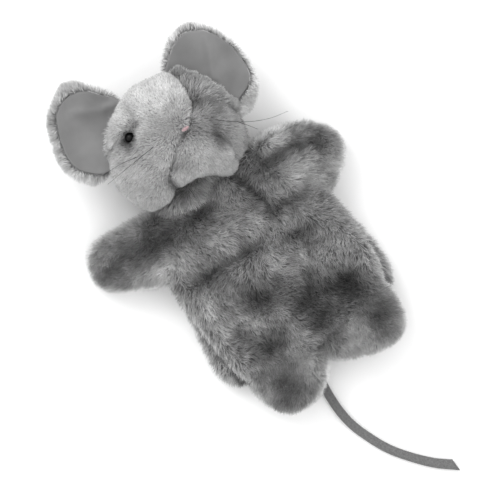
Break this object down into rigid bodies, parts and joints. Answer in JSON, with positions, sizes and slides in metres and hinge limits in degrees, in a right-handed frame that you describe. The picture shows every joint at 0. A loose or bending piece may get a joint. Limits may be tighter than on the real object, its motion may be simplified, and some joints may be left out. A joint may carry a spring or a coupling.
{
  "type": "glove puppet",
  "caption": "Plush mouse glove puppet lying on its back, with a stuffed head, lined ears, finger pockets in the arms and a felt tail.",
  "frame": {"origin": "on the flat underside of the back panel, on the body's centre line", "axes": "+Y towards the head, +Z out of the face and front panel, +X towards the puppet's own left hand"},
  "size_m": [0.2088, 0.3926, 0.089],
  "materials": {
    "body_plush": "long pile",
    "face_plush": "clipped pile",
    "cheek_plush": "long pile",
    "ear_satin": "satin",
    "lining_cloth": "plain weave",
    "binding_tape": "twill tape",
    "felt": "pressed felt",
    "fibre_fill": "loose fibre",
    "card": "matt board",
    "bead_black": "polished",
    "washer_plastic": "moulded",
    "nose_thread": "satin stitch",
    "mouth_thread": "twisted thread",
    "nylon": "monofilament",
    "elastic": "woven"
  },
  "bodies": {
    "torso": {"torso_back": "body_plush", "torso_front": "body_plush", "lining_back": "lining_cloth", "lining_front": "lining_cloth", "hem_binding": "binding_tape", "tail_tab": "felt", "tail": "felt"},
    "neck": {"neck_collar": "body_plush", "neck_elastic": "elastic"},
    "head": {"head_back": "body_plush", "forehead_panel": "face_plush", "right_cheek": "cheek_plush", "left_cheek": "cheek_plush", "muzzle": "cheek_plush", "head_stuffing": "fibre_fill", "finger_tube": "card", "right_eye": "bead_black", "left_eye": "bead_black", "right_eye_washer": "washer_plastic", "left_eye_washer": "washer_plastic", "nose": "nose_thread", "mouth_stitch": "mouth_thread", "right_whiskers": "nylon", "left_whiskers": "nylon"},
    "right_ear": {"right_ear_plush": "cheek_plush", "right_ear_lining": "ear_satin"},
    "left_ear": {"left_ear_plush": "cheek_plush", "left_ear_lining": "ear_satin"},
    "right_arm": {"right_arm_front": "body_plush", "right_arm_back": "body_plush", "right_arm_lining": "lining_cloth"},
    "left_arm": {"left_arm_front": "body_plush", "left_arm_back": "body_plush", "left_arm_lining": "lining_cloth"},
    "right_foot": {"right_foot_top": "body_plush", "right_foot_sole": "body_plush", "right_foot_stuffing": "fibre_fill"},
    "left_foot": {"left_foot_top": "body_plush", "left_foot_sole": "body_plush", "left_foot_stuffing": "fibre_fill"}
  },
  "joints": [
    {"name": "head_nod", "type": "hinge", "parent": "torso", "child": "neck", "pos_m": [-0.002, 0.072, 0.022], "axis": [1, 0, 0], "range_deg": [-10, 30]},
    {"name": "head_turn", "type": "hinge", "parent": "neck", "child": "head", "pos_m": [-0.002, 0.08, 0.022], "axis": [0, 1, 0], "range_deg": [-25, 25]},
    {"name": "right_ear_fold", "type": "hinge", "parent": "head", "child": "right_ear", "pos_m": [-0.03481, 0.15281, 0.042], "axis": [0.7071, 0.7071, 0], "range_deg": [-15, 60], "stiffness_Nm_per_rad": 0.05},
    {"name": "left_ear_fold", "type": "hinge", "parent": "head", "child": "left_ear", "pos_m": [0.04102, 0.13738, 0.042], "axis": [0.3746, -0.9272, 0], "range_deg": [-15, 60], "stiffness_Nm_per_rad": 0.05},
    {"name": "right_arm_lift", "type": "hinge", "parent": "torso", "child": "right_arm", "pos_m": [-0.061, 0.06, 0.015], "axis": [0.0698, 0.9976, 0], "range_deg": [-15, 75]},
    {"name": "left_arm_lift", "type": "hinge", "parent": "torso", "child": "left_arm", "pos_m": [0.06, 0.052, 0.015], "axis": [-0.2419, -0.9703, 0], "range_deg": [-15, 75]},
    {"name": "right_foot_lift", "type": "hinge", "parent": "torso", "child": "right_foot", "pos_m": [-0.0305, -0.062, 0.035], "axis": [-1, 0, 0], "range_deg": [0, 90]},
    {"name": "left_foot_lift", "type": "hinge", "parent": "torso", "child": "left_foot", "pos_m": [0.0265, -0.062, 0.035], "axis": [-1, 0, 0], "range_deg": [0, 90]}
  ]
}
